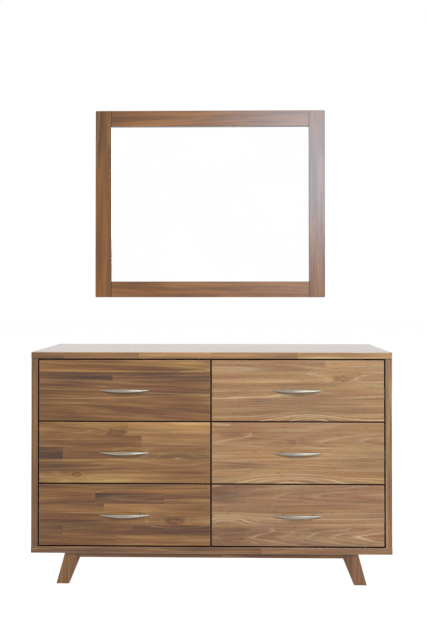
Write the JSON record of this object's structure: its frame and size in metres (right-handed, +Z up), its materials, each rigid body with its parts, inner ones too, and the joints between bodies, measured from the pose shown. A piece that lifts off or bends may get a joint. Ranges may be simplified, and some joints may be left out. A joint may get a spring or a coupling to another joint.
{
  "type": "dresser with mirror",
  "caption": "Low wide wooden dresser with drawers in two columns, bow pulls and splayed tapered legs, and a separate wood-framed wall mirror hung above it.",
  "frame": {"origin": "on the floor, midway between the dresser's two sides and midway between the front of the pulls and the wall", "axes": "+X to the right as seen from the front, +Y back towards the wall, +Z up; the drawers open towards -Y"},
  "size_m": [1.5, 0.496, 2.097],
  "materials": {
    "case_wood": "satin lacquer over walnut stain",
    "drawer_front_wood": "satin lacquer over walnut stain, edge-glued strips",
    "mirror_frame_wood": "satin lacquer over walnut stain",
    "base_wood": "satin lacquer over walnut stain",
    "inner_wood": "clear lacquer",
    "box_wood": "clear lacquer on pale solid wood",
    "plywood": "clear lacquer",
    "hardboard": "plain pressed board",
    "slide_steel": "bright zinc plate",
    "hanger_steel": "zinc plate",
    "pull_nickel": "satin nickel",
    "mirror_glass": "silvered glass",
    "bumper_rubber": "matte"
  },
  "bodies": {
    "case": {"back_panel": "plywood", "bottom_panel": "case_wood", "centre_partition": "inner_wood", "drawer_rails": "inner_wood", "front_base_rail": "base_wood", "front_left_leg": "base_wood", "front_right_leg": "base_wood", "left_side_panel": "case_wood", "mirror_backing": "hardboard", "mirror_bottom_rail": "mirror_frame_wood", "mirror_bumpers": "bumper_rubber", "mirror_glass": "mirror_glass", "mirror_hangers": "hanger_steel", "mirror_left_stile": "mirror_frame_wood", "mirror_right_stile": "mirror_frame_wood", "mirror_top_rail": "mirror_frame_wood", "rear_base_rail": "base_wood", "rear_left_leg": "base_wood", "rear_right_leg": "base_wood", "right_side_panel": "case_wood", "side_base_rails": "inner_wood", "slide_outer_members": "slide_steel", "top_panel": "case_wood"},
    "bottom_left_drawer": {"bottom_left_drawer_bottom": "plywood", "bottom_left_drawer_box": "box_wood", "bottom_left_drawer_front": "drawer_front_wood", "bottom_left_pull": "pull_nickel", "bottom_left_slide_inner": "slide_steel"},
    "bottom_left_runner": {"bottom_left_slide_middle": "slide_steel"},
    "bottom_right_drawer": {"bottom_right_drawer_bottom": "plywood", "bottom_right_drawer_box": "box_wood", "bottom_right_drawer_front": "drawer_front_wood", "bottom_right_pull": "pull_nickel", "bottom_right_slide_inner": "slide_steel"},
    "bottom_right_runner": {"bottom_right_slide_middle": "slide_steel"},
    "middle_left_drawer": {"middle_left_drawer_bottom": "plywood", "middle_left_drawer_box": "box_wood", "middle_left_drawer_front": "drawer_front_wood", "middle_left_pull": "pull_nickel", "middle_left_slide_inner": "slide_steel"},
    "middle_left_runner": {"middle_left_slide_middle": "slide_steel"},
    "middle_right_drawer": {"middle_right_drawer_bottom": "plywood", "middle_right_drawer_box": "box_wood", "middle_right_drawer_front": "drawer_front_wood", "middle_right_pull": "pull_nickel", "middle_right_slide_inner": "slide_steel"},
    "middle_right_runner": {"middle_right_slide_middle": "slide_steel"},
    "top_left_drawer": {"top_left_drawer_bottom": "plywood", "top_left_drawer_box": "box_wood", "top_left_drawer_front": "drawer_front_wood", "top_left_pull": "pull_nickel", "top_left_slide_inner": "slide_steel"},
    "top_left_runner": {"top_left_slide_middle": "slide_steel"},
    "top_right_drawer": {"top_right_drawer_bottom": "plywood", "top_right_drawer_box": "box_wood", "top_right_drawer_front": "drawer_front_wood", "top_right_pull": "pull_nickel", "top_right_slide_inner": "slide_steel"},
    "top_right_runner": {"top_right_slide_middle": "slide_steel"}
  },
  "joints": [
    {"name": "bottom_left_drawer_slide", "type": "slide", "parent": "case", "child": "bottom_left_drawer", "axis": [0, -1, 0], "range_m": [0, 0.38]},
    {"name": "bottom_left_runner_slide", "type": "slide", "parent": "case", "child": "bottom_left_runner", "axis": [0, -1, 0], "range_m": [0, 0.19]},
    {"name": "bottom_right_drawer_slide", "type": "slide", "parent": "case", "child": "bottom_right_drawer", "axis": [0, -1, 0], "range_m": [0, 0.38]},
    {"name": "bottom_right_runner_slide", "type": "slide", "parent": "case", "child": "bottom_right_runner", "axis": [0, -1, 0], "range_m": [0, 0.19]},
    {"name": "middle_left_drawer_slide", "type": "slide", "parent": "case", "child": "middle_left_drawer", "axis": [0, -1, 0], "range_m": [0, 0.38]},
    {"name": "middle_left_runner_slide", "type": "slide", "parent": "case", "child": "middle_left_runner", "axis": [0, -1, 0], "range_m": [0, 0.19]},
    {"name": "middle_right_drawer_slide", "type": "slide", "parent": "case", "child": "middle_right_drawer", "axis": [0, -1, 0], "range_m": [0, 0.38]},
    {"name": "middle_right_runner_slide", "type": "slide", "parent": "case", "child": "middle_right_runner", "axis": [0, -1, 0], "range_m": [0, 0.19]},
    {"name": "top_left_drawer_slide", "type": "slide", "parent": "case", "child": "top_left_drawer", "axis": [0, -1, 0], "range_m": [0, 0.38]},
    {"name": "top_left_runner_slide", "type": "slide", "parent": "case", "child": "top_left_runner", "axis": [0, -1, 0], "range_m": [0, 0.19]},
    {"name": "top_right_drawer_slide", "type": "slide", "parent": "case", "child": "top_right_drawer", "axis": [0, -1, 0], "range_m": [0, 0.38]},
    {"name": "top_right_runner_slide", "type": "slide", "parent": "case", "child": "top_right_runner", "axis": [0, -1, 0], "range_m": [0, 0.19]}
  ],
  "couplings": [
    {"joint": "bottom_left_runner_slide", "follows": "bottom_left_drawer_slide", "ratio": 0.5},
    {"joint": "bottom_right_runner_slide", "follows": "bottom_right_drawer_slide", "ratio": 0.5},
    {"joint": "middle_left_runner_slide", "follows": "middle_left_drawer_slide", "ratio": 0.5},
    {"joint": "middle_right_runner_slide", "follows": "middle_right_drawer_slide", "ratio": 0.5},
    {"joint": "top_left_runner_slide", "follows": "top_left_drawer_slide", "ratio": 0.5},
    {"joint": "top_right_runner_slide", "follows": "top_right_drawer_slide", "ratio": 0.5}
  ]
}
